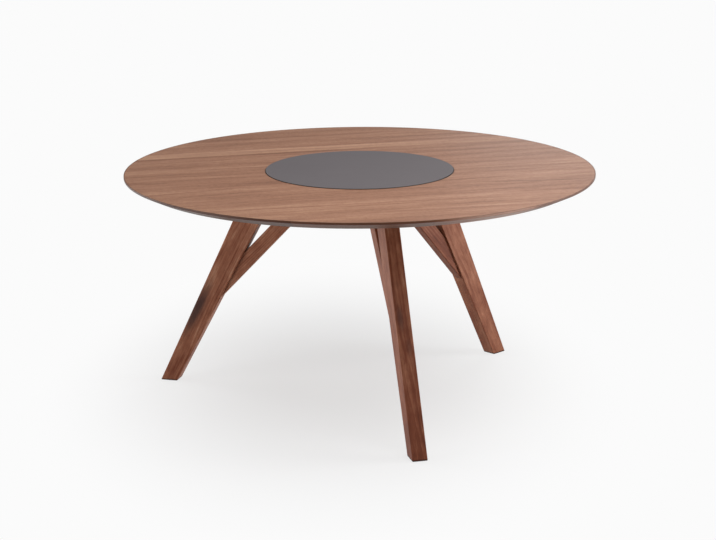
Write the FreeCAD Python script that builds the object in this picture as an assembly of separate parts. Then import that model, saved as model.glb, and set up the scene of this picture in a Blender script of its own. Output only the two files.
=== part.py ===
import FreeCAD, Part
import math
import os

# Round dining table on three splayed legs, with a turntable let into its top and standing just proud.
# Millimetres. The origin is on the floor below the centre of the top, +Z is up, and the front leg
# stands towards -Y.

Vector = FreeCAD.Vector
CENTRE = Vector(0, 0, 0)
UP = Vector(0, 0, 1)
DOWN = Vector(0, 0, -1)

# The whole table
TABLE_HEIGHT = 750.0
TOP_DIAMETER = 1500.0
LEG_SIDES = ("front", "right", "left")
FRONT_LEG_AZIMUTH = 270.0

# The top: two core layers, a bevelled lipping round them, and veneer on both faces
RIM_HEIGHT = 6.5
BEVEL_INSET = 46.0
LIPPING_LAND = 14.0
LIPPING_SEGMENTS = 6
VENEER_THICKNESS = 0.6
CORE_WEB = 7.9
GLUE_LINE = 0.1

# The turntable in its recess
TURNTABLE_DIAMETER = 600.0
TURNTABLE_GAP = 2.0
TURNTABLE_PROUD = 2.0
TURNTABLE_LIFT = 2.0
FACING_THICKNESS = 4.0
TURNTABLE_BOARD_THICKNESS = 8.0

# The bearing: two rings with the balls between them
BALL_DIAMETER = 5.0
BALL_COUNT = 36
BALL_CIRCLE_DIAMETER = 270.0
BALL_CLEARANCE = 0.2
BALL_SEAT = 1.0
RING_WIDTH = 15.5
RING_LIP = 1.5
RING_STEP = 1.5
CAGE_WEB = 0.8
CAGE_CLEARANCE = 0.9
POCKET_MARGIN = 8.0
RING_SCREW_COUNT = 6
RING_SCREW_DIAMETER = 4.0
RING_SCREW_HEAD = 8.0
SCREW_COVER = 1.5

# The hole through which the turning ring's screws are driven, and its plug
ACCESS_DIAMETER = 14.0
ACCESS_AZIMUTH = 90.0
PLUG_RIM = 4.0
PLUG_HEAD_THICKNESS = 2.0
PLUG_HEAD_ROUND = 1.2
PLUG_GRIP = 4.0

# The steel star plate below the top: a hub, and for each leg an arm that ends in a pad
PLATE_THICKNESS = 6.0
HUB_MARGIN = 20.0
ARM_WIDTH = 60.0
PAD_GAP = 10.0
PAD_DEPTH = 56.0
PAD_LENGTH = 130.0
PLATE_CORNER = 10.0
PLATE_SCREW_EDGE = 13.0
PLATE_SCREW_DIAMETER = 6.0
PLATE_SCREW_HEAD = 11.0
PLATE_SCREW_HEAD_HEIGHT = 3.3
PLATE_SCREW_HEAD_ROUND = 2.2
PLATE_SCREW_SOCKET = 4.0
PLATE_SCREW_SOCKET_SIDES = 6
PLATE_SCREW_SOCKET_DEPTH = 2.0
TOP_INSERT_COVER = 3.4

# The legs, measured in the upright plane through the table's axis: the feet stand inside the rim
LEG_THICKNESS = 48.0
LEG_FOOT_INSET = 61.0
LEG_FOOT_DEPTH = 57.0
LEG_HEAD_RADIUS = 351.0
LEG_HEAD_DEPTH = 102.0
LEG_EDGE = 3.0

# The braces from the star plate to the legs' inner faces
BRACE_THICKNESS = 34.0
BRACE_WIDTH = 48.0
BRACE_START_RADIUS = 76.0
BRACE_JOINT_HEIGHT = 460.0
BRACE_EDGE = 2.5

# Bolts, threaded inserts and dowels in the legs and braces
BOLT_DIAMETER = 8.0
BOLT_HEAD = 15.0
LEG_BOLT_BITE = 28.0
BRACE_BOLT_BITE = 20.0
BOLT_WALL = 8.0
INSERT_WALL = 2.0
DOWEL_DIAMETER = 10.0
DOWEL_LEG_DEPTH = 25.0
DOWEL_COVER = 12.0
DOWEL_PLACES = (0.15, 0.37)
FIT_CLEARANCE = 0.1
HOLE_SPARE = 2.0

# The glides under the feet, each a pad with a pin
GLIDE_THICKNESS = 2.0
GLIDE_DIAMETER = 36.0
GLIDE_ROUND = 0.8
GLIDE_PIN_DIAMETER = 4.0
GLIDE_PIN_LENGTH = 16.0

# How much of a piece's height the round at its lower edge may take
ROUND_SHARE = 0.75

# Radii and heights that follow from the sizes above
top_radius = TOP_DIAMETER / 2
lipping_radius = top_radius - BEVEL_INSET - LIPPING_LAND
core_radius = lipping_radius - GLUE_LINE
turntable_radius = TURNTABLE_DIAMETER / 2
opening_radius = turntable_radius + TURNTABLE_GAP
core_top = TABLE_HEIGHT - VENEER_THICKNESS

ball_radius = BALL_DIAMETER / 2
ball_circle_radius = BALL_CIRCLE_DIAMETER / 2
ring_half_gap = ball_radius - BALL_SEAT
ring_height = BALL_DIAMETER + 2 * RING_LIP
base_ring_outer = ball_circle_radius - ring_half_gap
base_ring_inner = base_ring_outer - RING_WIDTH
turn_ring_inner = ball_circle_radius + ring_half_gap
turn_ring_outer = turn_ring_inner + RING_WIDTH
base_screw_circle = base_ring_inner + RING_WIDTH / 2
turn_screw_circle = turn_ring_inner + RING_WIDTH / 2
pocket_radius = turn_ring_outer + POCKET_MARGIN

facing_top = TABLE_HEIGHT + TURNTABLE_PROUD
facing_bottom = facing_top - FACING_THICKNESS
turntable_bottom = facing_bottom - TURNTABLE_BOARD_THICKNESS
recess_floor = turntable_bottom - TURNTABLE_LIFT
pocket_floor = turntable_bottom - RING_STEP - ring_height
base_ring_top = pocket_floor + ring_height
turn_ring_bottom = pocket_floor + RING_STEP
ball_height = (base_ring_top + turn_ring_bottom) / 2
core_bottom = pocket_floor - CORE_WEB
underside = core_bottom - VENEER_THICKNESS
top_insert_end = recess_floor - TOP_INSERT_COVER

plate_bottom = underside - PLATE_THICKNESS
hub_radius = turn_ring_outer + HUB_MARGIN
pad_start = LEG_HEAD_RADIUS + PAD_GAP
leg_foot = GLIDE_THICKNESS
leg_head = plate_bottom
foot_outer = top_radius - LEG_FOOT_INSET
foot_inner = foot_outer - LEG_FOOT_DEPTH
head_inner = LEG_HEAD_RADIUS - LEG_HEAD_DEPTH
glide_radius = (foot_outer + foot_inner) / 2
insert_radius = BOLT_DIAMETER / 2 + FIT_CLEARANCE + INSERT_WALL


# Shapes used by several pieces
def cylinder(radius, low, high, place=CENTRE):
    return Part.makeCylinder(radius, high - low, place + Vector(0, 0, low))


def rounded_below(radius, low, high, place, edge):
    """An upright cylinder with its lower edge rounded, at most over a share of its height."""
    shape = cylinder(radius, low, high, place)
    lower = [rim for rim in shape.Edges if rim.BoundBox.ZMax < (low + high) / 2]
    return shape.makeFillet(min(edge, ROUND_SHARE * (high - low)), lower)


def annulus(inner, outer, low, high):
    return cylinder(outer, low, high).cut(cylinder(inner, low, high))


def polar(radius, azimuth, height=0.0):
    angle = math.radians(azimuth)
    return Vector(radius * math.cos(angle), radius * math.sin(angle), height)


def turned(shape, azimuth):
    copy = shape.copy()
    copy.rotate(CENTRE, UP, azimuth)
    return copy


def moved(shape, place):
    copy = shape.copy()
    copy.translate(place)
    return copy


def evenly(count, start=0.0):
    return [start + 360.0 * i / count for i in range(count)]


leg_azimuths = evenly(len(LEG_SIDES), FRONT_LEG_AZIMUTH)


def for_each_leg(shapes):
    return [turned(shape, azimuth) for azimuth in leg_azimuths for shape in shapes]


def countersunk(diameter, head, length, clearance=0.0):
    """A screw along -Z with the top of its countersunk head at the origin, or the hole for it."""
    shank_radius = diameter / 2 + clearance
    head_radius = head / 2 + clearance
    cone = Part.makeCone(head_radius, shank_radius, head_radius - shank_radius, CENTRE, DOWN)
    return cone.fuse(cylinder(shank_radius, -length, 0.0)).removeSplitter()


def upended(shape):
    copy = shape.copy()
    copy.rotate(CENTRE, Vector(1, 0, 0), 180.0)
    return copy


def rounded_outline(x_low, x_high, width, radius, height):
    """Wire of a rectangle with round corners, level at the given height and centred on Y."""
    half = width / 2
    x_in = (x_low + radius, x_high - radius)
    y_in = (radius - half, half - radius)
    centres = [(x_in[1], y_in[1]), (x_in[0], y_in[1]), (x_in[0], y_in[0]), (x_in[1], y_in[0])]
    edges = []
    for (x, y), start in zip(centres, evenly(len(centres))):
        arc = Part.makeCircle(radius, Vector(x, y, height), UP, start, start + 360 / len(centres))
        if edges:
            edges.append(Part.makeLine(edges[-1].lastVertex().Point, arc.firstVertex().Point))
        edges.append(arc)
    edges.append(Part.makeLine(edges[-1].lastVertex().Point, edges[0].firstVertex().Point))
    return Part.Wire(edges)


def save(name, shapes):
    Part.makeCompound(shapes).exportStep(f"parts/{name}.step")


# The top
def make_edge_lipping():
    profile = [
        Vector(lipping_radius, 0, underside),
        Vector(top_radius - BEVEL_INSET, 0, underside),
        Vector(top_radius, 0, TABLE_HEIGHT - RIM_HEIGHT),
        Vector(top_radius, 0, core_top),
        Vector(lipping_radius, 0, core_top),
    ]
    face = Part.Face(Part.makePolygon(profile + profile[:1]))
    segment = face.revolve(CENTRE, UP, 360.0 / LIPPING_SEGMENTS)
    return [turned(segment, azimuth) for azimuth in evenly(LIPPING_SEGMENTS)]


def plate_screw_places():
    """Where the screws stand at the corners of the pad of a leg at azimuth 0."""
    radii = (pad_start + PLATE_SCREW_EDGE, pad_start + PAD_DEPTH - PLATE_SCREW_EDGE)
    side = PAD_LENGTH / 2 - PLATE_SCREW_EDGE
    return [Vector(radius, y, 0) for radius in radii for y in (-side, side)]


top_insert_radius = PLATE_SCREW_DIAMETER / 2 + FIT_CLEARANCE + INSERT_WALL


def top_insert_holes(low, high):
    hole_radius = top_insert_radius + FIT_CLEARANCE
    return for_each_leg([cylinder(hole_radius, low, high, place) for place in plate_screw_places()])


def access_hole(low, high):
    place = polar(turn_screw_circle, ACCESS_AZIMUTH)
    return cylinder(ACCESS_DIAMETER / 2, low, high, place)


def base_screws(clearance=0.0):
    length = base_ring_top - core_bottom - SCREW_COVER
    screw = countersunk(RING_SCREW_DIAMETER, RING_SCREW_HEAD, length, clearance)
    azimuths = evenly(RING_SCREW_COUNT, ACCESS_AZIMUTH + 180.0 / RING_SCREW_COUNT)
    return [moved(screw, polar(base_screw_circle, azimuth, base_ring_top)) for azimuth in azimuths]


def make_core_lower_board():
    board = cylinder(core_radius, core_bottom, recess_floor)
    cuts = [cylinder(pocket_radius, pocket_floor, recess_floor), access_hole(core_bottom, pocket_floor)]
    cuts += base_screws(FIT_CLEARANCE)
    cuts += top_insert_holes(core_bottom, top_insert_end + FIT_CLEARANCE)
    return [board.cut(cuts)]


def make_underside_veneer():
    sheet = cylinder(core_radius, underside, core_bottom)
    return [sheet.cut([access_hole(underside, core_bottom)] + top_insert_holes(underside, core_bottom))]


# The turntable and its bearing
def turn_screws(clearance=0.0):
    length = facing_bottom - turn_ring_bottom - SCREW_COVER
    screw = upended(countersunk(RING_SCREW_DIAMETER, RING_SCREW_HEAD, length, clearance))
    azimuths = evenly(RING_SCREW_COUNT, ACCESS_AZIMUTH)
    return [moved(screw, polar(turn_screw_circle, azimuth, turn_ring_bottom)) for azimuth in azimuths]


def ball_groove():
    return Part.makeTorus(ball_circle_radius, ball_radius + BALL_CLEARANCE, Vector(0, 0, ball_height))


def make_base_ring():
    ring = annulus(base_ring_inner, base_ring_outer, pocket_floor, base_ring_top)
    return [ring.cut([ball_groove()] + base_screws(FIT_CLEARANCE))]


def make_turn_ring():
    ring = annulus(turn_ring_inner, turn_ring_outer, turn_ring_bottom, turntable_bottom)
    return [ring.cut([ball_groove()] + turn_screws(FIT_CLEARANCE))]


def make_balls():
    places = [polar(ball_circle_radius, azimuth, ball_height) for azimuth in evenly(BALL_COUNT)]
    return [Part.makeSphere(ball_radius, place) for place in places]


def make_cage():
    """A thin band halfway between the rings, with a window for each ball."""
    half_thickness = ring_half_gap - CAGE_CLEARANCE
    window_radius = ball_radius + BALL_CLEARANCE
    half_height = window_radius + CAGE_WEB
    band = annulus(
        ball_circle_radius - half_thickness,
        ball_circle_radius + half_thickness,
        ball_height - half_height,
        ball_height + half_height,
    )
    start = Vector(ball_circle_radius - ring_half_gap, 0, ball_height)
    window = Part.makeCylinder(window_radius, 2 * ring_half_gap, start, Vector(1, 0, 0))
    return [band.cut([turned(window, azimuth) for azimuth in evenly(BALL_COUNT)])]


def make_turntable_board():
    board = cylinder(turntable_radius, turntable_bottom, facing_bottom)
    return [board.cut(turn_screws(FIT_CLEARANCE))]


def make_access_plug():
    place = polar(turn_screw_circle, ACCESS_AZIMUTH)
    radius = ACCESS_DIAMETER / 2
    head_bottom = plate_bottom - PLUG_HEAD_THICKNESS
    head = rounded_below(radius + PLUG_RIM, head_bottom, plate_bottom, place, PLUG_HEAD_ROUND)
    stem = cylinder(radius - FIT_CLEARANCE, plate_bottom, underside + PLUG_GRIP, place)
    return [head.fuse(stem)]


# The legs, each built at azimuth 0 in the XZ plane and then turned to its place
def between_foot_and_head(height, at_foot, at_head):
    return at_foot + (at_head - at_foot) * (height - leg_foot) / (leg_head - leg_foot)


def leg_outer(height):
    return between_foot_and_head(height, foot_outer, LEG_HEAD_RADIUS)


def leg_inner(height):
    return between_foot_and_head(height, foot_inner, head_inner)


def leg_bolt_places():
    """One bolt clear of the sloping inner face at its lower end, one clear of the outer face."""
    wall = insert_radius + BOLT_WALL
    inner = leg_inner(leg_head - LEG_BOLT_BITE) + wall
    return [Vector(radius, 0, 0) for radius in (inner, LEG_HEAD_RADIUS - wall)]


# The brace's line: its upper edge meets the leg's inner face at the joint's upper corner
joint_upper = Vector(leg_inner(BRACE_JOINT_HEIGHT), 0, BRACE_JOINT_HEIGHT)
brace_start = Vector(BRACE_START_RADIUS, 0, leg_head)
to_joint = joint_upper - brace_start
brace_angle = math.atan2(-to_joint.z, to_joint.x) + math.asin(BRACE_WIDTH / to_joint.Length)
brace_along = Vector(math.cos(brace_angle), 0, -math.sin(brace_angle))
brace_across = Vector(math.sin(brace_angle), 0, math.cos(brace_angle))

# The leg's inner face: the direction up along it, and the one square to it towards the brace
face_up = Vector(leg_inner(leg_head) - leg_inner(leg_foot), 0, leg_head - leg_foot).normalize()
face_out = Vector(-face_up.z, 0, face_up.x)

# The joint runs down the leg's inner face until the brace's lower edge meets it
joint_length = BRACE_WIDTH / abs(face_up.dot(brace_across))
brace_depth_at_joint = BRACE_WIDTH / abs(face_out.dot(brace_across))
dowel_bite = brace_depth_at_joint * (1 - max(DOWEL_PLACES)) - DOWEL_COVER


def dowels(clearance=0.0, spare=0.0):
    shapes = []
    for share in DOWEL_PLACES:
        start = joint_upper - face_up * (share * joint_length) - face_out * (DOWEL_LEG_DEPTH + spare)
        length = DOWEL_LEG_DEPTH + dowel_bite + 2 * spare
        shapes.append(Part.makeCylinder(DOWEL_DIAMETER / 2 + clearance, length, start, face_out))
    return shapes


def brace_bolt_place():
    """Midway between a bolt just clear of the lower edge and one just clear of the upper edge."""
    wall = insert_radius + BOLT_WALL
    lower = BRACE_START_RADIUS + BRACE_BOLT_BITE / math.tan(brace_angle) + wall
    upper = BRACE_START_RADIUS + BRACE_WIDTH / math.sin(brace_angle) - wall
    return Vector((lower + upper) / 2, 0, 0)


def insert_hole(place, bite):
    return cylinder(insert_radius + FIT_CLEARANCE, leg_head - bite - HOLE_SPARE, leg_head, place)


def insert(place, bite):
    tube = annulus(BOLT_DIAMETER / 2 + FIT_CLEARANCE, insert_radius, leg_head - bite, leg_head)
    return moved(tube, place)


def bolt(place, bite, clearance=0.0):
    screw = countersunk(BOLT_DIAMETER, BOLT_HEAD, PLATE_THICKNESS + bite, clearance)
    return moved(screw, place + Vector(0, 0, underside))


def glide_pin(clearance=0.0, spare=0.0):
    radius = GLIDE_PIN_DIAMETER / 2 + clearance
    return cylinder(radius, leg_foot, leg_foot + GLIDE_PIN_LENGTH + spare, Vector(glide_radius, 0, 0))


def make_leg():
    outlines = []
    for height in (leg_foot, leg_head):
        inner = leg_inner(height)
        outer = leg_outer(height)
        outlines.append(rounded_outline(inner, outer, LEG_THICKNESS, LEG_EDGE, height))
    leg = Part.makeLoft(outlines, True, True)
    cuts = [insert_hole(place, LEG_BOLT_BITE) for place in leg_bolt_places()]
    cuts += dowels(FIT_CLEARANCE, HOLE_SPARE)
    cuts.append(glide_pin(FIT_CLEARANCE, HOLE_SPARE))
    return leg.cut(cuts)


def make_brace():
    """A straight bar, cut level at the star plate and slanting along the leg's inner face."""
    outline = rounded_outline(-BRACE_WIDTH, 0.0, BRACE_THICKNESS, BRACE_EDGE, 0.0)
    length = to_joint.Length + joint_length + BRACE_WIDTH
    bar = Part.Face(outline).extrude(Vector(0, 0, length))
    bar.rotate(CENTRE, Vector(0, 1, 0), 90.0 + math.degrees(brace_angle))
    bar.translate(brace_start - brace_along * BRACE_WIDTH)
    corners = [
        Vector(leg_inner(leg_head), -BRACE_THICKNESS, leg_head),
        Vector(leg_inner(leg_foot), -BRACE_THICKNESS, leg_foot),
        Vector(-BRACE_WIDTH, -BRACE_THICKNESS, leg_foot),
        Vector(-BRACE_WIDTH, -BRACE_THICKNESS, leg_head),
    ]
    inside_face = Part.Face(Part.makePolygon(corners + corners[:1]))
    brace = bar.common(inside_face.extrude(Vector(0, 2 * BRACE_THICKNESS, 0)))
    hole = insert_hole(brace_bolt_place(), BRACE_BOLT_BITE)
    return brace.cut([hole] + dowels(FIT_CLEARANCE, HOLE_SPARE))


def make_glide():
    pad = rounded_below(GLIDE_DIAMETER / 2, 0.0, leg_foot, Vector(glide_radius, 0, 0), GLIDE_ROUND)
    return pad.fuse(glide_pin())


# The star plate and the screws that hold it to the top
def make_star_plate():
    hub = cylinder(hub_radius, plate_bottom, underside)
    arm = Part.makeBox(
        pad_start + PAD_DEPTH / 2, ARM_WIDTH, PLATE_THICKNESS, Vector(0, -ARM_WIDTH / 2, plate_bottom)
    )
    outline = rounded_outline(pad_start, pad_start + PAD_DEPTH, PAD_LENGTH, PLATE_CORNER, plate_bottom)
    pad = Part.Face(outline).extrude(Vector(0, 0, PLATE_THICKNESS))
    plate = hub.fuse(for_each_leg([arm, pad])).removeSplitter()
    bolts = [bolt(place, LEG_BOLT_BITE, FIT_CLEARANCE) for place in leg_bolt_places()]
    bolts.append(bolt(brace_bolt_place(), BRACE_BOLT_BITE, FIT_CLEARANCE))
    screw_radius = PLATE_SCREW_DIAMETER / 2 + FIT_CLEARANCE
    bolts += [cylinder(screw_radius, plate_bottom, underside, place) for place in plate_screw_places()]
    return [plate.cut(for_each_leg(bolts) + [access_hole(plate_bottom, underside)])]


def plate_screw(place):
    """A button-headed screw from below, with a hexagon socket in its head."""
    head_bottom = plate_bottom - PLATE_SCREW_HEAD_HEIGHT
    head = rounded_below(PLATE_SCREW_HEAD / 2, head_bottom, plate_bottom, place, PLATE_SCREW_HEAD_ROUND)
    shank = cylinder(PLATE_SCREW_DIAMETER / 2, plate_bottom, top_insert_end, place)
    socket_radius = PLATE_SCREW_SOCKET / 2 / math.cos(math.pi / PLATE_SCREW_SOCKET_SIDES)
    azimuths = evenly(PLATE_SCREW_SOCKET_SIDES)
    corners = [place + polar(socket_radius, azimuth, head_bottom) for azimuth in azimuths]
    socket = Part.Face(Part.makePolygon(corners + corners[:1])).extrude(UP * PLATE_SCREW_SOCKET_DEPTH)
    return head.fuse(shank).cut(socket)


def top_insert(place):
    tube = annulus(PLATE_SCREW_DIAMETER / 2 + FIT_CLEARANCE, top_insert_radius, underside, top_insert_end)
    return moved(tube, place)


os.makedirs("parts", exist_ok=True)

save("face_veneer", [annulus(opening_radius, top_radius, core_top, TABLE_HEIGHT)])
save("edge_lipping", make_edge_lipping())
save("core_upper_ring", [annulus(opening_radius, core_radius, recess_floor, core_top)])
save("core_lower_board", make_core_lower_board())
save("underside_veneer", make_underside_veneer())

save("bearing_base_ring", make_base_ring())
save("base_ring_screws", base_screws())
save("bearing_balls", make_balls())
save("ball_cage", make_cage())
save("bearing_turn_ring", make_turn_ring())
save("turn_ring_screws", turn_screws())
save("turntable_board", make_turntable_board())
save("turntable_facing", [cylinder(turntable_radius, facing_bottom, facing_top)])
save("access_plug", make_access_plug())

save("star_plate", make_star_plate())
save("plate_screws", for_each_leg([plate_screw(place) for place in plate_screw_places()]))
save("top_inserts", for_each_leg([top_insert(place) for place in plate_screw_places()]))
save("leg_bolts", for_each_leg([bolt(place, LEG_BOLT_BITE) for place in leg_bolt_places()]))
save("leg_inserts", for_each_leg([insert(place, LEG_BOLT_BITE) for place in leg_bolt_places()]))
save("brace_bolts", for_each_leg([bolt(brace_bolt_place(), BRACE_BOLT_BITE)]))
save("brace_inserts", for_each_leg([insert(brace_bolt_place(), BRACE_BOLT_BITE)]))
save("brace_dowels", for_each_leg(dowels()))

leg = make_leg()
brace = make_brace()
glide = make_glide()
for side, azimuth in zip(LEG_SIDES, leg_azimuths):
    save(f"leg_{side}", [turned(leg, azimuth)])
    save(f"brace_{side}", [turned(brace, azimuth)])
    save(f"foot_glide_{side}", [turned(glide, azimuth)])
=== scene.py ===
import bpy
import numpy as np
from mathutils import Matrix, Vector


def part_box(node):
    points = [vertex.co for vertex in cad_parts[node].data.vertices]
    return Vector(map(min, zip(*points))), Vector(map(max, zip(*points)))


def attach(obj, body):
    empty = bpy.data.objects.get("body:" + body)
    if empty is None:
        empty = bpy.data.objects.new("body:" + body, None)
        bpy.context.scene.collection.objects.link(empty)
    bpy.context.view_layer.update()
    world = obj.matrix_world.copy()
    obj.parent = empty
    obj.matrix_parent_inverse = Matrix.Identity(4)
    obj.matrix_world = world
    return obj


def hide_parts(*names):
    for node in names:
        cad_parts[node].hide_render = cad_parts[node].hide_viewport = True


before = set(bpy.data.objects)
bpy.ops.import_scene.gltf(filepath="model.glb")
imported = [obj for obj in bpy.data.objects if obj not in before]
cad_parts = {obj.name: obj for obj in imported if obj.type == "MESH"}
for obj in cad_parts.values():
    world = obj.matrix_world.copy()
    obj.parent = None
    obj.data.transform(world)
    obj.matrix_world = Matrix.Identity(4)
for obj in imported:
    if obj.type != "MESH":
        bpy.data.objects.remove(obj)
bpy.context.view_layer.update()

# The legs: three straight lengths of solid walnut, splayed outwards and tapering from head to foot.
# Each is sawn from one plank with the grain running down it, planed, and its edges lightly rounded.
# Two bolts in its head hold it to the star plate.
leg_low, leg_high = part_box("leg_front")
leg_thickness = leg_high.x - leg_low.x
foot_depth = 0.057
head_depth = 0.102
foot_span = np.array([-leg_low.y - foot_depth, -leg_low.y])
head_span = np.array([-leg_high.y, -leg_high.y + head_depth])
leg_edge = 0.003
leg_arris = 0.002
arris_steps = 5
crease = np.radians(40.0)
leg_azimuth = {"front": 270.0, "right": 30.0, "left": 150.0}

# Where each leg's plank lay in its log: along the log, then across and beside from the pith
leg_plank = {
    "front": (15.40, 0.085, 0.042),
    "right": (2.30, 0.045, -0.120),
    "left": (4.10, -0.050, 0.085),
}
ring_width = 0.0062
ring_sway = 0.034

# How pale each leg is at its foot and at its head, and the walnut's colours from dark to pale. The
# front leg's paler head is painted light against the tabletop's shade, and the left leg's paler head
# is a painted sheen.
leg_tone_and_light = {"front": (-0.13, 0.13), "right": (0.07, 0.04), "left": (0.03, 0.23)}
leg_shades = ((72, 33, 20), (111, 61, 42), (143, 93, 70), (187, 143, 116))
shade_places = (0.05, 0.38, 0.62, 0.95)
knot_brown = (52, 37, 36)
pore_brown = (46, 27, 19)
# The dark brown painted as shadow on the lowest few millimetres of each foot, and how high it reaches
foot_shade_brown = (38, 24, 18)
foot_shade_height = 0.006

# The knots: the leg each one is in, its place from the foot's middle, its size, and how dark it is
leg_knots = (
    ("left", (0.278, 0.024, leg_thickness / 2), (0.150, 0.036, 0.030), 0.85),
    ("front", (0.420, 0.036, -0.008), (0.055, 0.030, 0.013), 0.55),
    ("front", (0.330, 0.036, 0.006), (0.040, 0.030, 0.010), 0.35),
)


def eased(corners, cut, steps=7, closed=True):
    """Outline with soft corners. Round each corner C runs the curve (1-t)^2 A + 2t(1-t) C + t^2 B,
    where A and B lie the cut back from C on its two sides. One point more on each side, half as far
    again from C, keeps the flats flat in shading. An open outline keeps its two ends as they are."""
    beyond = 1.5
    corners = np.asarray(corners, float)
    cut = np.broadcast_to(cut, corners.shape[:-1])[..., None, None]
    back = np.roll(corners, 1, axis=-2) - corners
    ahead = np.roll(corners, -1, axis=-2) - corners
    back /= np.linalg.norm(back, axis=-1, keepdims=True)
    ahead /= np.linalg.norm(ahead, axis=-1, keepdims=True)
    t = np.linspace(0.0, 1.0, steps)
    share_back = np.concatenate([[beyond], (1 - t) ** 2, [0.0]])[:, None]
    share_ahead = np.concatenate([[0.0], t ** 2, [beyond]])[:, None]
    curve = share_back * back[..., None, :] + share_ahead * ahead[..., None, :]
    points = corners[..., None, :] + cut * curve
    if closed:
        return points.reshape(corners.shape[:-2] + (-1, 2))
    return np.concatenate([corners[:1], points[1:-1].reshape(-1, 2), corners[-1:]])


def piece(name, points, ring=False):
    """Mesh of the grids points[copy, row, column]: neighbours make quads, each row closes on itself,
    and the rows either close into a ring or end in two flat caps."""
    points = points.reshape((-1,) + points.shape[-3:])
    number = np.arange(points[..., 0].size).reshape(points.shape[:3])
    here = number if ring else number[:, :-1]
    above = np.roll(number, -1, axis=1) if ring else number[:, 1:]
    quads = np.stack([here, np.roll(here, -1, axis=2), np.roll(above, -1, axis=2), above], axis=-1)
    faces = quads.reshape(-1, 4).tolist()
    if not ring:
        faces += number[:, 0, ::-1].tolist() + number[:, -1].tolist()
    mesh = bpy.data.meshes.new(name)
    mesh.from_pydata(points.reshape(-1, 3).tolist(), [], faces)
    mesh.shade_smooth()
    mesh.set_sharp_from_angle(angle=crease)
    made = bpy.data.objects.new(name, mesh)
    bpy.context.scene.collection.objects.link(made)
    return made


def turned(points, azimuth):
    """Points given as radius, sideways and height, turned about the table's axis to an azimuth:
    x = radius cos - sideways sin, y = radius sin + sideways cos."""
    angle = np.radians(azimuth)
    radius, side, height = np.moveaxis(points, -1, 0)
    x = radius * np.cos(angle) - side * np.sin(angle)
    y = radius * np.sin(angle) + side * np.cos(angle)
    return np.stack([x, y, height], axis=-1)


def leg_span(height):
    """Inner and outer radius of a leg at a height: straight lines from the foot's to the head's."""
    share = (height - leg_low.z) / (leg_high.z - leg_low.z)
    return foot_span[:, None] * (1 - share) + head_span[:, None] * share


def leg_surface(stations=40):
    """Level rectangles with eased corners, from foot to head between the leg's straight edges. At both
    ends the last few draw in by a quarter round: inwards by 1 - sin, lengthways by 1 - cos of a turn."""
    turn = np.linspace(0.0, np.pi / 2, arris_steps)
    draw = leg_arris * (1 - np.sin(turn))
    lift = leg_arris * (1 - np.cos(turn))
    between = np.linspace(leg_low.z, leg_high.z, stations)[1:-1]
    heights = np.concatenate([leg_low.z + lift, between, leg_high.z - lift[::-1]])
    inset = np.concatenate([draw, np.zeros(between.size), draw[::-1]])
    inner, outer = leg_span(heights)
    inner = inner + inset
    outer = outer - inset
    half = leg_thickness / 2 - inset
    sides = [(outer, -half), (outer, half), (inner, half), (inner, -half)]
    corners = np.moveaxis(np.array(sides), -1, 0)
    outline = eased(corners, leg_edge)
    level = np.broadcast_to(heights[:, None, None], outline.shape[:2] + (1,))
    return np.concatenate([outline, level], axis=-1)


def lay_grain(made, grain, tone):
    """Keeps on the mesh each point's place in its log, grain, and how pale the wood is there, tone."""
    tone = np.broadcast_to(tone, grain.shape[:-1])
    places = made.data.attributes.new("grain", "FLOAT_VECTOR", "POINT")
    places.data.foreach_set("vector", grain.reshape(-1).astype(np.float32))
    tones = made.data.attributes.new("tone", "FLOAT", "POINT")
    tones.data.foreach_set("value", tone.reshape(-1).astype(np.float32))


def paint(red, green, blue):
    """Linear colour of a shade given as 0 to 255."""
    level = np.array([red, green, blue]) / 255
    linear = np.where(level > 0.04045, ((level + 0.055) / 1.055) ** 2.4, level / 12.92)
    return tuple(linear.tolist()) + (1.0,)


class Finish:
    """A socket among a material's nodes. Sums, differences and products on it add Math nodes."""

    def __init__(self, tree, socket=None):
        self.tree = tree
        self.socket = socket

    def node(self, kind, settings, sockets, output=0):
        """Adds a node of a type: its settings first, then the values or links of its sockets."""
        made = self.tree.nodes.new(kind)
        for name, value in settings.items():
            if name == "stops":
                made.color_ramp.elements.remove(made.color_ramp.elements[1])
                made.color_ramp.elements[0].position = value[0][0]
                made.color_ramp.elements[0].color = value[0][1]
                for place, colour in value[1:]:
                    made.color_ramp.elements.new(place).color = colour
            else:
                setattr(made, name, value)
        for name, value in sockets.items():
            if isinstance(value, Finish):
                self.tree.links.new(value.socket, made.inputs[name])
            else:
                made.inputs[name].default_value = value
        return Finish(self.tree, made.outputs[output] if made.outputs else None)

    def math(self, operation, first, second=0.0):
        """Adds a Math node on one or two values."""
        return self.node("ShaderNodeMath", {"operation": operation}, {0: first, 1: second})

    def __add__(self, other):
        return self.math("ADD", self, other)

    def __radd__(self, other):
        return self.math("ADD", other, self)

    def __sub__(self, other):
        return self.math("SUBTRACT", self, other)

    def __rsub__(self, other):
        return self.math("SUBTRACT", other, self)

    def __mul__(self, other):
        return self.math("MULTIPLY", self, other)

    def __rmul__(self, other):
        return self.math("MULTIPLY", other, self)


def new_finish(name):
    """An empty material and the start of its nodes."""
    material = bpy.data.materials.new(name)
    material.use_nodes = True
    material.node_tree.nodes.clear()
    return material, Finish(material.node_tree)


def stretched(place, stretch):
    """A place times a stretch along each axis."""
    return place.node("ShaderNodeVectorMath", {"operation": "MULTIPLY"}, {0: place, 1: stretch})


def shifted(place, shift):
    """A place moved by a shift."""
    return place.node("ShaderNodeVectorMath", {"operation": "ADD"}, {0: place, 1: shift})


def length_of(place):
    """How far a place lies from its origin."""
    return place.node("ShaderNodeVectorMath", {"operation": "LENGTH"}, {0: place}, "Value")


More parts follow.
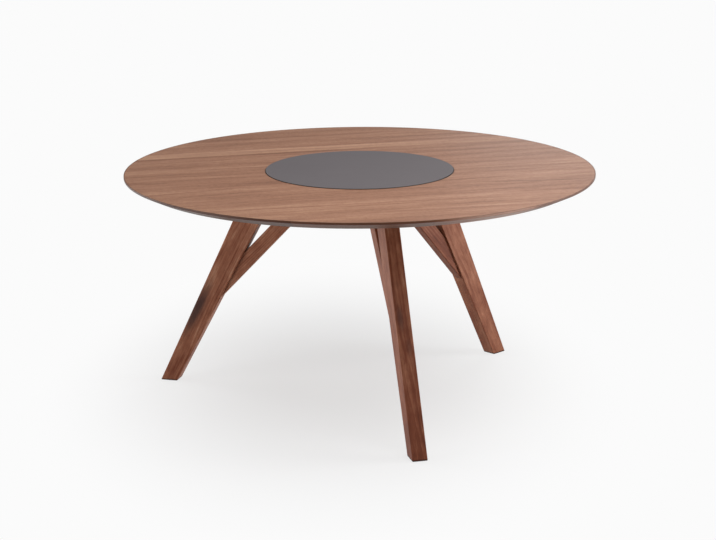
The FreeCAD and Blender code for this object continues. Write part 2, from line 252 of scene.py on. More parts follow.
def noise(place, stretch, detail=2.0, roughness=0.5, output=0):
    """Noise over a place. The larger the stretch along an axis, the finer it is along it."""
    sockets = {"Vector": stretched(place, stretch), "Scale": 1.0}
    sockets |= {"Detail": detail, "Roughness": roughness}
    return place.node("ShaderNodeTexNoise", {}, sockets, output)


def noise_along(value):
    """Noise over a single value, such as a distance."""
    return value.node("ShaderNodeTexNoise", {"noise_dimensions": "1D"}, {"W": value, "Detail": 2.0})


def rise(value, low, high):
    """0 below low, 1 above high, and a smooth step between."""
    sockets = {"Value": value, "From Min": low, "From Max": high, "To Min": 0.0, "To Max": 1.0}
    return value.node("ShaderNodeMapRange", {"interpolation_type": "SMOOTHSTEP"}, sockets)


def blended(share, first, second):
    """The first colour, going over to the second as the share goes from 0 to 1."""
    return share.node("ShaderNodeMix", {"data_type": "RGBA"}, {0: share, 6: first, 7: second}, 2)


def shaded(value, places, shades):
    """The colour at a value on a ramp that has these shades at these places."""
    stops = [(place, paint(*shade)) for place, shade in zip(places, shades)]
    return value.node("ShaderNodeValToRGB", {"stops": stops}, {"Fac": value})


def bumped(height, strength, distance):
    """The surface's normal, with a height in relief."""
    sockets = {"Strength": strength, "Distance": distance, "Height": height}
    return height.node("ShaderNodeBump", {}, sockets)


def coated(start, sockets):
    """The shader with these sockets, joined to the material's output."""
    shader = start.node("ShaderNodeBsdfPrincipled", {}, sockets)
    start.node("ShaderNodeOutputMaterial", {}, {"Surface": shader})


def walnut_figure(start, shades, contrast=1.0, knots=()):
    """Walnut in the log's own coordinates, x along it and y, z from the pith. Growth rings are whole
    numbers of distance from the pith over the ring's width, swayed by noise, and each darkens slowly
    towards its late wood. Noise makes soft blotches and, drawn out along the log, streaks and fibres,
    and short dark dashes make the pores. Each knot darkens as the distance from it, over its size,
    falls below 1."""
    log = start.node("ShaderNodeAttribute", {"attribute_name": "grain"}, {}, "Vector")
    tone = start.node("ShaderNodeAttribute", {"attribute_name": "tone"}, {}, "Fac")
    drift = shifted(noise(log, (1.6, 9.0, 9.0), 2.0, 0.5, "Color"), (-0.5, -0.5, -0.5))
    swayed = shifted(log, stretched(drift, (0.0, ring_sway, ring_sway)))
    from_pith = length_of(stretched(swayed, (0.0, 1.0, 1.0)))
    rings = from_pith * (1 / ring_width) + noise(swayed, (0.7, 20.0, 20.0)) * 2.2
    ring = start.math("FRACT", rings)
    late = rise(ring, 0.25, 0.90) * (1 - rise(ring, 0.93, 1.0))
    band = noise_along(rings * 0.33)
    blotch = noise(swayed, (13.0, 32.0, 32.0), 3.0, 0.6)
    streak = noise(swayed, (5.0, 95.0, 95.0), 3.0, 0.6)
    fibre = noise(swayed, (11.0, 620.0, 620.0), 2.0, 0.6)
    pore = rise(noise(swayed, (48.0, 1500.0, 1500.0), 1.0), 0.60, 0.70) * (1 - 0.6 * ring)
    figure = 0.28 * (band - 0.5) + 0.66 * (blotch - 0.5) - 0.12 * late
    figure = figure + 0.24 * (streak - 0.5) + 0.34 * (fibre - 0.5)
    wood = shaded(0.50 + tone + contrast * figure, shade_places, shades)
    for side, place, size, depth in knots:
        from_knot = shifted(swayed, tuple(-np.add(leg_plank[side], place)))
        distance = length_of(stretched(from_knot, tuple(1 / length for length in size)))
        knot = 1 - rise(distance + 0.5 * (streak - 0.5), 0.15, 1.0)
        wood = blended(depth * knot, wood, paint(*knot_brown))
    colour = blended(0.55 * pore, wood, paint(*pore_brown))
    return colour, fibre, pore


def oiled_walnut():
    """The walnut of the base: a dull sheen, rougher along the pores, and the fibres and pores in relief.
    The lowest few millimetres are painted dark, a painted shadow where the foot meets the floor."""
    material, start = new_finish("walnut_solid")
    place = start.node("ShaderNodeTexCoord", {}, {}, "Object")
    height = start.node("ShaderNodeSeparateXYZ", {}, {"Vector": place}, "Z")
    # Painted shadow: the foot's lowest few millimetres go over to dark brown
    painted_foot_shade = 1 - rise(height, leg_low.z + 0.5 * foot_shade_height, leg_low.z + foot_shade_height)
    colour, fibre, pore = walnut_figure(start, leg_shades, knots=leg_knots)
    colour = blended(0.8 * painted_foot_shade, colour, paint(*foot_shade_brown))
    coated(start, {
        "Base Color": colour,
        "Roughness": 0.48 + 0.16 * (fibre - 0.5) + 0.14 * pore,
        "Normal": bumped(0.5 * fibre - 0.8 * pore, 0.25, 0.0004),
        "Specular IOR Level": 0.12,
    })
    return material


walnut = oiled_walnut()
leg_points = leg_surface()
foot_centre = np.array([foot_span.mean(), 0.0, leg_low.z])
head_centre = np.array([head_span.mean(), 0.0, leg_high.z])
leg_up = (head_centre - foot_centre) / np.linalg.norm(head_centre - foot_centre)
leg_axes = np.array([leg_up, (leg_up[2], 0.0, -leg_up[0]), (0.0, 1.0, 0.0)])
for side, azimuth in leg_azimuth.items():
    leg = piece(f"walnut_leg_{side}", turned(leg_points, azimuth))
    # Paleness from foot to head, which holds the painted light and painted sheen of the heads
    tone = np.interp(leg_points[..., 2], [leg_low.z, leg_high.z], leg_tone_and_light[side])
    lay_grain(leg, (leg_points - foot_centre) @ leg_axes.T + leg_plank[side], tone)
    leg.data.materials.append(walnut)
    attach(leg, "table")
    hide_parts(f"leg_{side}")

# The glides: a hard black plastic pad under each foot, moulded with a soft lower edge and a pin.
# The pin is tapped into the foot's end grain.
glide_low, glide_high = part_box("foot_glide_front")
glide_radius = (glide_high.x - glide_low.x) / 2
glide_place = -(glide_low.y + glide_high.y) / 2
glide_edge = 0.0009
glide_columns = 64
glide_black = (24, 24, 25)
axis_hole = 0.001


def lathed(profile, columns):
    """A profile of radius and height carried round the upright axis: x = radius cos, y = radius sin.
    The flat caps of its two ends close it at the axis."""
    angle = np.linspace(0.0, 2 * np.pi, columns, endpoint=False)
    radius, height = profile[:, :1], profile[:, 1:]
    level = np.broadcast_to(height, (len(profile), columns))
    return np.stack([radius * np.cos(angle), radius * np.sin(angle), level], axis=-1)


def moulded_plastic(name, shade):
    """Moulded plastic: two close shades in soft clouds, and a fine even grain in its gloss and relief."""
    material, start = new_finish(name)
    place = start.node("ShaderNodeTexCoord", {}, {}, "Object")
    cloud = noise(place, (60.0, 60.0, 60.0), 3.0)
    grain = noise(place, (2600.0, 2600.0, 2600.0), 1.0)
    pale = paint(*(min(255, level * 1.35 + 6) for level in shade))
    coated(start, {
        "Base Color": blended(cloud, paint(*shade), pale),
        "Roughness": 0.48 + 0.20 * (grain - 0.5) + 0.10 * (cloud - 0.5),
        "Normal": bumped(grain, 0.2, 0.0001),
    })
    return material


black_plastic = moulded_plastic("black_plastic", glide_black)
glide_corners = [
    (axis_hole, glide_low.z),
    (glide_radius, glide_low.z),
    (glide_radius, leg_low.z),
    (axis_hole, leg_low.z),
]
glide_profile = eased(glide_corners, glide_edge, closed=False)
glide_points = lathed(glide_profile, glide_columns) + np.array([glide_place, 0.0, 0.0])
for side, azimuth in leg_azimuth.items():
    glide = piece(f"glide_pad_{side}", turned(glide_points, azimuth))
    glide.data.materials.append(black_plastic)
    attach(glide, "table")
    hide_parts(f"foot_glide_{side}")

# The braces: a slimmer walnut bar from the middle of the star plate out to each leg's inner face.
# Its lower end is cut to a long slant that lies flat on the leg, where two dowels and glue hold it.
brace_low, brace_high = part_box("brace_front")
brace_thickness = brace_high.x - brace_low.x
brace_width = 0.048
brace_edge = 0.0025
brace_arris = 0.0012
brace_start = np.array([-brace_high.y, brace_high.z])
brace_tip = np.array([-brace_low.y, brace_low.z])
brace_plank = {
    "front": (6.20, 0.030, 0.100),
    "right": (7.90, 0.080, -0.040),
    "left": (9.40, -0.095, 0.060),
}
# How pale each brace is; the left brace's paler wood is a painted sheen
brace_tone_and_light = {"front": 0.02, "right": -0.07, "left": 0.17}


def brace_surface(stations=24):
    """A rounded rectangle carried along a slope. Each point of the outline runs straight down the slope
    from the level of the star plate to the plane of the leg's inner face. There the last few outlines
    draw in by a quarter round: inwards by 1 - sin, and back from the face by 1 - cos of a turn."""
    last_full = 0.98
    along = (brace_tip - brace_start) / np.linalg.norm(brace_tip - brace_start)
    across = np.array([along[1], -along[0]])
    turn = np.linspace(np.pi / 2, 0.0, arris_steps)
    inset = np.concatenate([np.zeros(stations), brace_arris * (1 - np.sin(turn))])
    back = np.concatenate([np.zeros(stations), brace_arris * (1 - np.cos(turn))])[:, None]
    half = brace_thickness / 2 - inset
    lower, upper = -inset, inset - brace_width
    corners = [(lower, -half), (lower, half), (upper, half), (upper, -half)]
    outline = eased(np.moveaxis(np.array(corners), -1, 0), brace_edge)
    level, side = np.moveaxis(outline, -1, 0)
    base = brace_start + level[..., None] * across
    face = np.array([head_span[0] - foot_span[0], leg_high.z - leg_low.z])
    square = np.array([face[1], -face[0]]) / np.linalg.norm(face)
    first = (brace_start[1] - base[..., 1]) / along[1]
    last = ((brace_tip - base) @ square - back) / (along @ square)
    share = np.concatenate([np.linspace(0.0, last_full, stations), np.ones(turn.size)])[:, None]
    run = first * (1 - share) + last * share
    plane = base + run[..., None] * along
    points = np.stack([plane[..., 0], side, plane[..., 1]], axis=-1)
    return points, np.stack([run, level, side], axis=-1)


brace_points, brace_grain = brace_surface()
for side, azimuth in leg_azimuth.items():
    brace = piece(f"walnut_brace_{side}", turned(brace_points, azimuth))
    lay_grain(brace, brace_grain + brace_plank[side], brace_tone_and_light[side])
    brace.data.materials.append(walnut)
    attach(brace, "table")
    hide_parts(f"brace_{side}")

# The dowels in the slanting joints: fluted beech pins, glued into the leg and the brace.
# They are pale and even, with short brown flecks, and hidden once the joint is closed.
beech_dark = (206, 168, 128)
beech_pale = (226, 194, 156)
fleck_brown = (158, 112, 76)


def dress(material, *nodes):
    """Gives the frame's own pieces a finish."""
    for name in nodes:
        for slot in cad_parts[name].material_slots:
            slot.material = material


def pale_beech():
    """Beech: a pale pinkish wood with fine clouds and short darker flecks of ray."""
    material, start = new_finish("beech")
    place = start.node("ShaderNodeTexCoord", {}, {}, "Object")
    cloud = noise(place, (40.0, 40.0, 40.0), 3.0)
    fleck = rise(noise(place, (900.0, 900.0, 260.0), 1.0), 0.60, 0.68)
    wood = blended(cloud, paint(*beech_dark), paint(*beech_pale))
    coated(start, {
        "Base Color": blended(0.5 * fleck, wood, paint(*fleck_brown)),
        "Roughness": 0.58 + 0.2 * (cloud - 0.5),
        "Normal": bumped(fleck, 0.2, 0.0002),
    })
    return material


dress(pale_beech(), "brace_dowels")

# The bolts of the legs and braces are zinc-plated steel. The threaded inserts that bolts and screws turn
# into are brass sleeves, pressed into the wood. All are turned parts with a faint lathe mark.
zinc_grey = (198, 199, 201)
brass_yellow = (214, 176, 104)
lathe_marks = (30.0, 30.0, 4200.0)


def turned_metal(name, shade, roughness):
    """Machined metal: a cloudy tarnish between two shades, and fine level lathe marks in gloss and
    relief."""
    material, start = new_finish(name)
    place = start.node("ShaderNodeTexCoord", {}, {}, "Object")
    cloud = noise(place, (70.0, 70.0, 70.0), 4.0, 0.6)
    mark = noise(place, lathe_marks, 2.0)
    dull = paint(*(level * 0.8 for level in shade))
    coated(start, {
        "Base Color": blended(cloud, dull, paint(*shade)),
        "Metallic": 1.0,
        "Roughness": roughness + 0.22 * (cloud - 0.5) + 0.14 * (mark - 0.5),
        "Normal": bumped(mark, 0.12, 0.0001),
    })
    return material


bright_steel = turned_metal("bright_steel", zinc_grey, 0.30)
brass = turned_metal("brass", brass_yellow, 0.34)
dress(bright_steel, "leg_bolts", "brace_bolts")
dress(brass, "leg_inserts", "brace_inserts", "top_inserts")

# The star plate: a flat steel plate under the top, with a round hub, and an arm and a pad for each leg.
# It is cut from sheet and powder coated black. Black machine screws hold it up under the top.
coat_black = (20, 20, 21)
dust_grey = (52, 52, 54)


def powder_coat():
    """Black powder coat: the small round swells of orange peel, and a fine dust of paler grains."""
    material, start = new_finish("black_steel")
    place = start.node("ShaderNodeTexCoord", {}, {}, "Object")
    swell = noise(place, (420.0, 420.0, 420.0), 1.0)
    dust = rise(noise(place, (3000.0, 3000.0, 3000.0), 0.0), 0.60, 0.75)
    coated(start, {
        "Base Color": blended(0.5 * dust + 0.3 * swell, paint(*coat_black), paint(*dust_grey)),
        "Roughness": 0.42 + 0.18 * (swell - 0.5) + 0.1 * dust,
        "Normal": bumped(swell + 0.3 * dust, 0.35, 0.0003),
    })
    return material


dress(powder_coat(), "star_plate", "plate_screws")

# The core of the top: two layers of fibreboard glued together, the upper one a ring round the
# turntable. Both are brown pressed wood fibre, and show only down in the gap round the turntable.
core_dark = (112, 84, 60)
core_pale = (168, 134, 100)


def fibreboard(name, shade, pale):
    """Pressed wood fibre: a felt of fine pale and dark specks over faint clouds."""
    material, start = new_finish(name)
    place = start.node("ShaderNodeTexCoord", {}, {}, "Object")
    felt = noise(place, (900.0, 900.0, 1500.0), 3.0, 0.7)
    cloud = noise(place, (35.0, 35.0, 60.0), 3.0)
    coated(start, {
        "Base Color": blended(0.7 * felt + 0.3 * cloud, paint(*shade), paint(*pale)),
        "Roughness": 0.72 + 0.2 * (felt - 0.5),
        "Normal": bumped(felt, 0.3, 0.0002),
    })
    return material


dress(fibreboard("core_board", core_dark, core_pale), "core_upper_ring", "core_lower_board")

# The edge lipping: six segments of solid walnut butted into a ring and glued round the core. The ring
# is turned true, with a thin upright edge and below it a wide bevel running in under the table.
lipping_low, lipping_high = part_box("edge_lipping")
veneer_low, veneer_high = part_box("face_veneer")
top_radius = min(lipping_high.x, lipping_high.y, -lipping_low.x, -lipping_low.y)
rim_height = 0.0065
bevel_inset = 0.046
bevel_land = 0.014
lipping_cuts = (0.0001, 0.0010, 0.0016, 0.0002, 0.0002)
lipping_segments = 6
segment_stations = 60
half_joint = 0.00005
segment_span = 360.0 / lipping_segments
segment_end = segment_span / 2 - np.degrees(half_joint / top_radius)

# The first segment's place in its log, the step from each to the next, and how pale each one is. The
# segments' paleness is partly painted light and shade, set to how brightly each side of the ring is lit.
lipping_plank = np.array([12.0, 0.060, 0.090])
lipping_step = np.array([1.7, 0.013, -0.021])
lipping_tone_and_light = np.array([-0.33, -0.38, -0.30, -0.39, -0.27, -0.30])
lipping_shades = ((68, 42, 29), (110, 70, 50), (140, 92, 68), (182, 132, 102))
# The grey blended in as a painted sheen where the ring's tone is highest, and the dark brown painted as
# shade on the upright edge, which the rim's tone step lessens
painted_sheen_grey = (152, 132, 122)
edge_shade_brown = (60, 30, 17)
rim_tone = 0.10

# Painted light on the ring: a paler, greyer patch at the front right as a painted sheen, and a darker one
# at the left as painted shade. The azimuth, how far it reaches each way, and by how much
painted_light_places = ((287.0, 16.0, 0.38), (188.0, 27.0, -0.25))


def swept(outline, start, end, stations):
    """An outline of radius and height carried round the upright axis from one azimuth to another."""
    angle = np.radians(np.linspace(start, end, stations))[:, None]
    radius, height = outline.T
    level = np.broadcast_to(height, (stations, len(outline)))
    return np.stack([radius * np.cos(angle), radius * np.sin(angle), level], axis=-1)


def lipping_walnut():
    """The walnut of the lipping. It has a satin lacquer, which mirrors the floor where it is seen at a
    slant. Where its tone is highest it goes over to grey, a painted sheen. The upright edge is painted
    darker as shade, least where the sheen is painted."""
    material, start = new_finish("walnut_lipping")
    place = start.node("ShaderNodeTexCoord", {}, {}, "Object")
    height = start.node("ShaderNodeSeparateXYZ", {}, {"Vector": place}, "Z")
    tone = start.node("ShaderNodeAttribute", {"attribute_name": "tone"}, {}, "Fac")
    edge = rise(height, veneer_high.z - 1.2 * rim_height, veneer_high.z - rim_height)
    # Painted sheen: where the tone is highest the wood goes over to grey
    sapwood = rise(tone, -0.1, 0.2)
    # Painted shade on the upright edge, least where the sheen is painted
    edge_shade = edge * (1 - rise(tone, -0.55, 0.15))
    colour, fibre, pore = walnut_figure(start, lipping_shades, 0.5)
    colour = blended(0.5 * sapwood, colour, paint(*painted_sheen_grey))
    colour = blended(edge_shade, colour, paint(*edge_shade_brown))
    coated(start, {
        "Base Color": colour,
        "Roughness": 0.43 + 0.16 * (fibre - 0.5) + 0.10 * pore,
        "Normal": bumped(0.5 * fibre - 0.8 * pore, 0.25, 0.0004),
        "Specular IOR Level": 0.20,
    })
    return material


inner_edge = top_radius - bevel_inset - bevel_land
lipping_corners = [
    (top_radius, lipping_high.z),
    (top_radius, veneer_high.z - rim_height),
    (top_radius - bevel_inset, lipping_low.z),
    (inner_edge, lipping_low.z),
    (inner_edge, lipping_high.z),
]
segment = swept(eased(lipping_corners, lipping_cuts), -segment_end, segment_end, segment_stations)
numbers = np.arange(lipping_segments)
segments = [turned(segment, (number + 0.5) * segment_span) for number in numbers]
lipping = piece("edge_lipping_ring", np.array(segments))
in_plank = segment[..., [1, 0, 2]] - np.array([0.0, top_radius, lipping_low.z])
planks = lipping_plank + numbers[:, None] * lipping_step
on_rim = segment[..., 2] > veneer_high.z - 1.1 * rim_height
ring_azimuth = np.linspace(0.0, segment_span, segment_stations) + segment_span * numbers[:, None]
station_tone_and_light = np.tile(lipping_tone_and_light[:, None], segment_stations)
# Painted light and shade laid into the tone round the ring
for azimuth, reach, change in painted_light_places:
    station_tone_and_light += change * np.clip(1 - ((ring_azimuth - azimuth) / reach) ** 2, 0.0, None)
lay_grain(lipping, in_plank + planks[:, None, None], station_tone_and_light[:, :, None] + rim_tone * on_rim)
lipping.data.materials.append(lipping_walnut())
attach(lipping, "table")
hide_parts("edge_lipping")

# The face veneer: leaves of walnut, laid side by side with the grain across the table, over the core
# and out to the rim. It is cut away for the turntable, sanded and lacquered to a low satin sheen.
facing_low, facing_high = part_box("turntable_facing")
facing_radius = min(facing_high.x, facing_high.y)
turntable_gap = 0.002
opening_radius = facing_radius + turntable_gap
veneer_cuts = (0.0003, 0.0001, 0.0001, 0.0003)
veneer_stations = 360
dark_arris = 0.002
veneer_shades = ((98, 63, 45), (141, 98, 75), (161, 117, 92), (190, 147, 119))
veneer_shade_places = (0.10, 0.40, 0.60, 0.90)
veneer_dark = (70, 44, 32)

# The leaves: their width, where a joint falls, and how far apart in the flitch they were cut
leaf_width = 0.235
leaf_joint = 0.62
leaf_along = 3.7
leaf_below = 2.3
sapwood_place = 0.385
sapwood_half_width = 0.040

# The strongest dark lines of the figure: start x and y, end x and y, and half width
line_depth = 0.17
line_fade = 0.2
figure_lines = (
    (-0.72, -0.202, -0.397, -0.165, 0.011),
    (-0.57, -0.471, 0.30, -0.505, 0.009),
    (0.33, -0.282, 0.66, -0.334, 0.010),
    (-0.66, 0.050, -0.36, 0.030, 0.010),
)


def walnut_veneer():
    """Walnut veneer with its grain along X. Each leaf takes another stretch of the flitch. Noise drawn
    out along the grain makes, from wide to narrow, tone bands, figure, streaks, flecks, fibres and
    pores, and short noise a fine mottle. One leaf has a pale band of sapwood with a dark line on its
    near side. Each strong line of the figure darkens with nearness to its straight course, swayed as
    the grain is, and fades in and out at its ends. The arris at the rim, where more lacquer soaks in,
    is darker."""
    material, start = new_finish("walnut_veneer")
    place = start.node("ShaderNodeTexCoord", {}, {}, "Object")
    x, y = (start.node("ShaderNodeSeparateXYZ", {}, {"Vector": place}, axis) for axis in "XY")
    drift = noise(place, (1.1, 4.2, 1.0), 2.0) - 0.5
    waver = noise(place, (6.5, 26.0, 1.0), 2.0) - 0.5
    across = y + 0.045 * drift + 0.005 * waver
    leaf = start.math("FLOOR", y * (1 / leaf_width) + leaf_joint)
    in_flitch = {"X": x + leaf_along * leaf, "Y": across, "Z": leaf_below * leaf}
    flitch = start.node("ShaderNodeCombineXYZ", {}, in_flitch)
    one_way = {"noise_dimensions": "1D"}
    leaf_tone = start.node("ShaderNodeTexWhiteNoise", one_way, {"W": leaf + 4.0}, "Value")
    band = noise(flitch, (0.6, 9.0, 1.0), 2.0)
    figure = noise(flitch, (1.8, 18.0, 1.0), 3.0, 0.6)
    streak = noise(flitch, (1.6, 38.0, 1.0), 3.0, 0.6)
    dash = noise(flitch, (13.0, 52.0, 1.0), 2.0, 0.6)
    mottle = noise(flitch, (75.0, 60.0, 1.0), 2.0, 0.6)
    line = rise(noise(flitch, (0.9, 28.0, 1.7), 2.0, 0.6), 0.57, 0.70)
    fleck = noise(flitch, (6.0, 210.0, 1.0), 2.0, 0.6)
    fibre = noise(flitch, (16.0, 900.0, 1.0), 2.0, 0.6)
    pore = rise(noise(flitch, (60.0, 2200.0, 1.0), 1.0), 0.60, 0.70)
    straight = y + 0.012 * drift + 0.006 * waver
    offset = start.math("ABSOLUTE", straight - sapwood_place)
    fade = 1 - 0.7 * rise(x, -0.1, 0.45)
    sapwood = (1 - rise(offset, 0.7 * sapwood_half_width, sapwood_half_width)) * fade
    shadow = start.math("ABSOLUTE", straight - (sapwood_place - 1.25 * sapwood_half_width))
    shadow = (1 - rise(shadow, 0.1 * sapwood_half_width, 0.45 * sapwood_half_width)) * fade
    shade = 0.53 + 0.05 * (leaf_tone - 0.5) + 0.28 * (band - 0.5) + 0.72 * (figure - 0.5)
    shade = shade + 0.28 * (streak - 0.5) + 0.18 * (dash - 0.5) + 0.26 * (fleck - 0.5)
    shade = shade + 0.25 * (fibre - 0.5) + 0.24 * (mottle - 0.5)
    shade = shade - 0.12 * line + 0.26 * sapwood - 0.17 * shadow
    for start_x, start_y, end_x, end_y, half_width in figure_lines:
        slope = (end_y - start_y) / (end_x - start_x)
        course = start.math("ABSOLUTE", across - (start_y + slope * (x - start_x)))
        fade_length = line_fade * (end_x - start_x)
        ends = rise(x, start_x - fade_length, start_x + fade_length)
        ends = ends * (1 - rise(x, end_x - fade_length, end_x + fade_length))
        shade = shade - line_depth * ends * (1 - rise(course, 0.2 * half_width, half_width))
    wood = shaded(shade, veneer_shade_places, veneer_shades)
    wood = blended(0.45 * pore, wood, paint(*veneer_dark))
    radius = length_of(stretched(place, (1.0, 1.0, 0.0)))
    arris = rise(radius, top_radius - 2 * dark_arris, top_radius - dark_arris)
    coated(start, {
        "Base Color": blended(0.65 * arris, wood, paint(*veneer_dark)),
        "Roughness": 0.58 + 0.14 * (fleck - 0.5) + 0.10 * pore,
        "Normal": bumped(0.5 * fibre - 0.7 * pore, 0.18, 0.0003),
        "Specular IOR Level": 0.07,
    })
    return material


veneer_finish = walnut_veneer()
veneer_corners = [
    (top_radius, veneer_high.z),
    (top_radius, veneer_low.z),
    (opening_radius, veneer_low.z),
    (opening_radius, veneer_high.z),
]
last_station = 360.0 - 360.0 / veneer_stations
veneer_points = swept(eased(veneer_corners, veneer_cuts), 0.0, last_station, veneer_stations)
veneer = piece("top_face_veneer", veneer_points, ring=True)
veneer.data.materials.append(veneer_finish)
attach(veneer, "table")
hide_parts("face_veneer")

# The underside veneer: a balancing sheet of the same walnut, glued under the core so that the top
# stays flat. The star plate is screwed up through it.
dress(veneer_finish, "underside_veneer")

# The bearing: two aluminium rings, one screwed down in the core and one up into the turntable, with a
# row of steel balls between them in a white nylon cage. It is low enough to lie hidden in the top.
ring_dull = (176, 178, 182)
ring_bright = (206, 207, 210)
nylon_white = (212, 209, 200)


def ring_marks():
    """Lathe-turned aluminium: fine grooves round the table's axis, from noise of the distance to it."""
    material, start = new_finish("bearing_aluminium")
    place = start.node("ShaderNodeTexCoord", {}, {}, "Object")
    radius = length_of(stretched(place, (1.0, 1.0, 0.0)))
    groove = noise_along(2500.0 * radius)
    cloud = noise(place, (50.0, 50.0, 50.0), 3.0)
    coated(start, {
        "Base Color": blended(cloud, paint(*ring_dull), paint(*ring_bright)),
        "Metallic": 1.0,
        "Roughness": 0.32 + 0.2 * (groove - 0.5) + 0.1 * (cloud - 0.5),
        "Normal": bumped(groove, 0.2, 0.0001),
    })
    return material


dress(ring_marks(), "bearing_base_ring", "bearing_turn_ring")
dress(bright_steel, "bearing_balls", "base_ring_screws", "turn_ring_screws")
dress(moulded_plastic("nylon", nylon_white), "ball_cage")

# The turntable: a black board sunk in the top with a narrow gap round it, and a hard grey facing that
# stands just proud. The facing is laminate with a darker core and a smooth, matt, dark grey face, glued
# over the whole board.
facing_edge = 0.0005
facing_skin = 0.0003
facing_columns = 360
facing_dark = (101, 96, 98)
facing_pale = (116, 111, 113)
facing_core = (74, 69, 69)
board_dark = (22, 21, 21)
board_pale = (44, 42, 41)


def grey_facing():
    """Matt grey sheet: a very fine even speckle and faint wide clouds, with a soft silky gloss. Below
    its thin skin the edge is darker."""
    material, start = new_finish("grey_facing")
    place = start.node("ShaderNodeTexCoord", {}, {}, "Object")
    height = start.node("ShaderNodeSeparateXYZ", {}, {"Vector": place}, "Z")
    cloud = noise(place, (5.0, 5.0, 5.0), 4.0, 0.6)
    speck = noise(place, (700.0, 700.0, 700.0), 2.0, 0.7)
    skin = rise(height, facing_high.z - 1.2 * facing_skin, facing_high.z - 0.8 * facing_skin)
    grey = blended(0.5 * cloud + 0.5 * speck, paint(*facing_dark), paint(*facing_pale))
    coated(start, {
        "Base Color": blended(skin, paint(*facing_core), grey),
        "Roughness": 0.72 + 0.10 * (speck - 0.5) + 0.08 * (cloud - 0.5),
        "Normal": bumped(speck, 0.10, 0.0002),
        "Specular IOR Level": 0.03,
    })
    return material


facing_corners = [
    (axis_hole, facing_low.z),
    (facing_radius, facing_low.z),
    (facing_radius, facing_high.z),
    (axis_hole, facing_high.z),
]
facing_profile = eased(facing_corners, facing_edge, closed=False)
facing = piece("turntable_grey_facing", lathed(facing_profile, facing_columns))
facing.data.materials.append(grey_facing())
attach(facing, "turntable")
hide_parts("turntable_facing")
dress(fibreboard("black_board", board_dark, board_pale), "turntable_board")

# The plug in the access hole: a black plastic cap pressed in from below. Through its hole the turning
# ring's screws are reached one after another.
dress(black_plastic, "access_plug")

# The studio: a pale floor, greyed round the table partly by a painted shade, a plain surround, and six
# soft lamps round the table. Three low ones stand at the right, left and far left, a weak one low behind,
# and two small ones above the front and right.
# The camera stands where the photograph was taken from, a little left of the front leg.
camera_turn = np.radians(14.760)
camera_distance = 6.4172
camera_height = 2.0735
camera_heading = np.radians(14.698)
camera_pitch = np.radians(14.460)
camera_roll = np.radians(-0.336)
photo_width = 716
focal_pixels = 2048.5
film_width = 36.0
floor_half = 40.0
floor_grey = (0.70, 0.70, 0.70, 1.0)
floor_white = (0.965, 0.965, 0.965, 1.0)
# Round a place near the table's middle less of the seen floor is plain white, a painted shade that greys
# it there besides the real shadow: the share there, the distances of its fade, the place and the reach
floor_glow = 0.56
floor_fade = (0.11, 1.04)
floor_shade_middle = (-0.053, 0.163, 0.0)
floor_shade_reach = (0.95, 1.56, 1.0)
surround_white = (1.0, 1.0, 1.0, 1.0)
surround_light = 0.20

# Each lamp: its bearing clockwise from the camera's view, elevation, distance, size and watts
studio_lamps = {
    "back_lamp": (20.0, 10.0, 3.5, 1.4, 26.0),
    "right_lamp": (92.0, 3.0, 4.0, 2.0, 155.0),
    "front_lamp": (150.0, 45.0, 2.2, 1.4, 19.0),
    "left_lamp": (250.0, 3.0, 4.0, 2.0, 74.0),
    "far_left_lamp": (290.0, 3.0, 4.0, 2.0, 79.0),
    "high_lamp": (120.0, 75.0, 2.2, 1.4, 16.0),
}


def seen_directly(start):
    """1 for what the camera sees, straight or by reflection or through glass, and 0 for light that
    falls on things."""
    camera_ray = start.node("ShaderNodeLightPath", {}, {}, "Is Camera Ray")
    glossy_ray = start.node("ShaderNodeLightPath", {}, {}, "Is Glossy Ray")
    through_ray = start.node("ShaderNodeLightPath", {}, {}, "Is Transmission Ray")
    return start.math("MAXIMUM", start.math("MAXIMUM", camera_ray, glossy_ray), through_ray)


def pale_floor():
    """A matt pale floor that keeps shadows. What is seen of it has a share of plain white, which grows
    to the whole with the distance from a place near the table's middle, over a reach each way. Where the
    share is small, round the table, the floor is painted greyer, a painted shade besides its real
    shadows."""
    material, start = new_finish("pale_floor")
    place = start.node("ShaderNodeTexCoord", {}, {}, "Object")
    turn = (0.0, 0.0, -camera_heading)
    sockets = {"Vector": place, "Location": floor_shade_middle, "Rotation": turn, "Scale": floor_shade_reach}
    distance = length_of(start.node("ShaderNodeMapping", {"vector_type": "TEXTURE"}, sockets))
    matt = start.node("ShaderNodeBsdfDiffuse", {}, {"Color": floor_grey})
    white = start.node("ShaderNodeEmission", {}, {"Color": floor_white, "Strength": 1.0})
    share = seen_directly(start) * (floor_glow + (1 - floor_glow) * rise(distance, *floor_fade))
    mixed = start.node("ShaderNodeMixShader", {}, {0: share, 1: matt, 2: white})
    start.node("ShaderNodeOutputMaterial", {}, {"Surface": mixed})
    return material


floor_mesh = bpy.data.meshes.new("floor")
floor_corners = np.array([(-1, -1, 0), (1, -1, 0), (1, 1, 0), (-1, 1, 0)]) * floor_half
floor_mesh.from_pydata(floor_corners.tolist(), [], [(0, 1, 2, 3)])
floor = bpy.data.objects.new("floor", floor_mesh)
bpy.context.scene.collection.objects.link(floor)
floor_mesh.materials.append(pale_floor())

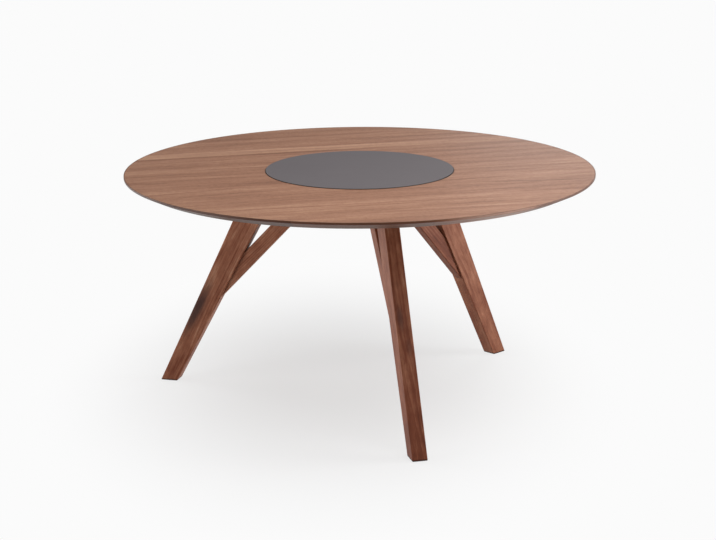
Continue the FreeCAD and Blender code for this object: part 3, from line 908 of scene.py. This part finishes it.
world = bpy.data.worlds.new("studio")
world.use_nodes = True
world.node_tree.nodes.clear()
sky = Finish(world.node_tree)
brightness = surround_light + (1.0 - surround_light) * seen_directly(sky)
surround = sky.node("ShaderNodeBackground", {}, {"Color": surround_white, "Strength": brightness})
sky.node("ShaderNodeOutputWorld", {}, {"Surface": surround})
bpy.context.scene.world = world


def aimed(bearing, elevation, distance):
    """Where a lamp stands, and how it is turned to face the top's centre."""
    heading = camera_heading + np.radians(bearing)
    tilt = np.radians(elevation)
    back = np.array([np.sin(heading) * np.cos(tilt), np.cos(heading) * np.cos(tilt), np.sin(tilt)])
    right = np.cross([0.0, 0.0, 1.0], back)
    right /= np.linalg.norm(right)
    up = np.cross(back, right)
    place = back * distance + np.array([0.0, 0.0, veneer_high.z])
    return Matrix(np.column_stack([right, up, back, place]).tolist() + [[0, 0, 0, 1]])


for name, (bearing, elevation, distance, size, watts) in studio_lamps.items():
    light = bpy.data.lights.new(name, "AREA")
    light.shape = "SQUARE"
    light.size = size
    light.energy = watts
    lamp = bpy.data.objects.new(name, light)
    bpy.context.scene.collection.objects.link(lamp)
    lamp.matrix_world = aimed(bearing, elevation, distance)
    lamp.visible_camera = False

forward = np.array([
    np.sin(camera_heading) * np.cos(camera_pitch),
    np.cos(camera_heading) * np.cos(camera_pitch),
    -np.sin(camera_pitch),
])
level_right = np.array([np.cos(camera_heading), -np.sin(camera_heading), 0.0])
level_up = np.cross(level_right, forward)
camera_right = np.cos(camera_roll) * level_right + np.sin(camera_roll) * level_up
camera_up = np.cos(camera_roll) * level_up - np.sin(camera_roll) * level_right
camera_place = np.array([
    -camera_distance * np.sin(camera_turn),
    -camera_distance * np.cos(camera_turn),
    camera_height,
])
camera_data = bpy.data.cameras.new("camera")
camera_data.sensor_width = film_width
camera_data.lens = focal_pixels / photo_width * film_width
camera = bpy.data.objects.new("camera", camera_data)
bpy.context.scene.collection.objects.link(camera)
camera_axes = np.column_stack([camera_right, camera_up, -forward, camera_place])
camera.matrix_world = Matrix(camera_axes.tolist() + [[0, 0, 0, 1]])
bpy.context.scene.camera = camera
bpy.context.scene.view_settings.view_transform = "Standard"
